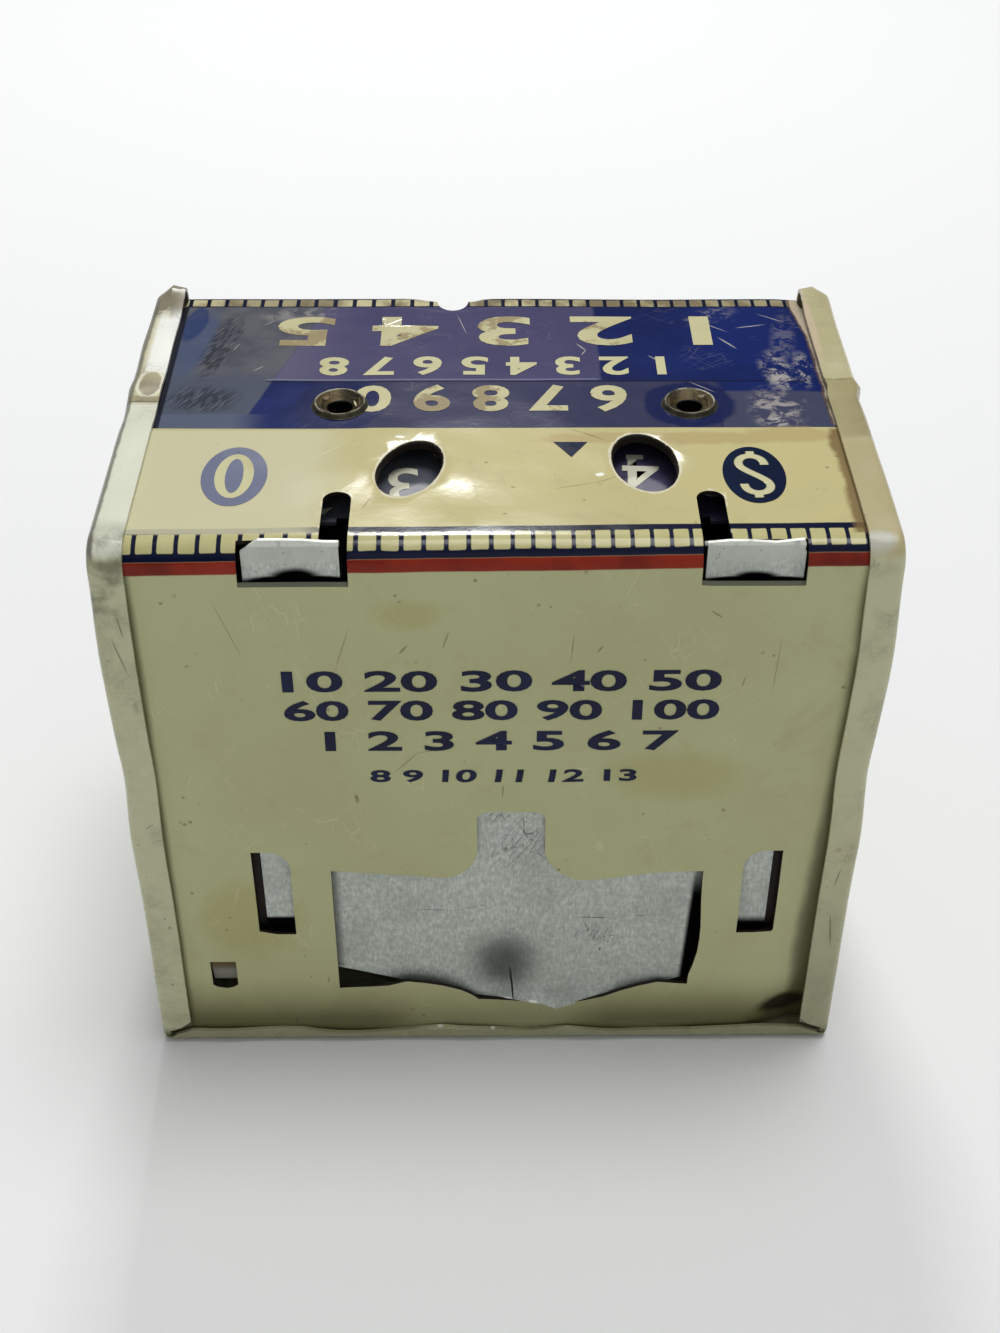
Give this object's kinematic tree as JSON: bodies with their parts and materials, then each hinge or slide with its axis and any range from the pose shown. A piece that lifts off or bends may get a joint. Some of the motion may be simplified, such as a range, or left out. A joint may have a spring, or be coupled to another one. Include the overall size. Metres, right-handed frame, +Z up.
{
  "type": "dime register bank",
  "caption": "Small sheet metal savings bank with two number dials behind windows, a coin slot and a lifting coin door.",
  "frame": {"origin": "middle of the bottom of the box", "axes": "+X right for someone who reads the top panel, +Y to the back with the coin outlet, +Z up"},
  "size_m": [0.076, 0.0514, 0.0693],
  "materials": {
    "printed_tin": "lithographed cream and navy enamel, worn",
    "cream_tin": "cream enamel, worn",
    "bare_tin": "mottled bare tinplate",
    "dial_blue": "navy enamel with cream figures",
    "dark_brass": "tarnished",
    "spring_steel": "bare"
  },
  "bodies": {
    "bank": {"casing": "cream_tin", "cover_sheet": "printed_tin", "dimes_eyelet": "dark_brass", "dollars_eyelet": "dark_brass", "dimes_spacer": "bare_tin", "dollars_spacer": "bare_tin", "dimes_retaining_washer": "bare_tin", "dollars_retaining_washer": "bare_tin", "dimes_click_spring": "spring_steel", "dollars_click_spring": "spring_steel", "click_spring_rivets": "bare_tin", "chute_plate_left": "bare_tin", "chute_plate_right": "bare_tin", "chute_floor": "bare_tin", "chute_rivets": "bare_tin", "guard_flap_pin": "spring_steel"},
    "dimes_wheel": {"dimes_dial": "dial_blue", "dimes_hub": "bare_tin", "dimes_carry_finger": "bare_tin", "dimes_star_wheel": "bare_tin"},
    "dollars_wheel": {"dollars_dial": "dial_blue", "dollars_hub": "bare_tin", "dollars_carry_wheel": "bare_tin", "dollars_click_wheel": "bare_tin"},
    "coin_door": {"coin_door": "bare_tin"},
    "guard_flap": {"coin_guard_flap": "bare_tin"}
  },
  "joints": [
    {"name": "dimes_dial_turn", "type": "hinge", "parent": "bank", "child": "dimes_wheel", "pos_m": [0.016, -0.00105, 0.06], "axis": [0, 0, -1], "continuous": true, "deforming": ["dimes_click_spring"]},
    {"name": "dollars_dial_turn", "type": "hinge", "parent": "bank", "child": "dollars_wheel", "pos_m": [-0.0201, -0.00105, 0.06], "axis": [0, 0, 1], "continuous": true, "deforming": ["dollars_click_spring"]},
    {"name": "door_lift", "type": "slide", "parent": "bank", "child": "coin_door", "axis": [0, 0, 1], "range_m": [0, 0.0185]},
    {"name": "guard_flap_swing", "type": "hinge", "parent": "bank", "child": "guard_flap", "pos_m": [0.0049, -0.0196, 0.063], "axis": [1, 0, 0], "range_deg": [0, 90]}
  ],
  "couplings": [
    {"joint": "dollars_dial_turn", "follows": "dimes_dial_turn", "ratio": 0.1}
  ]
}
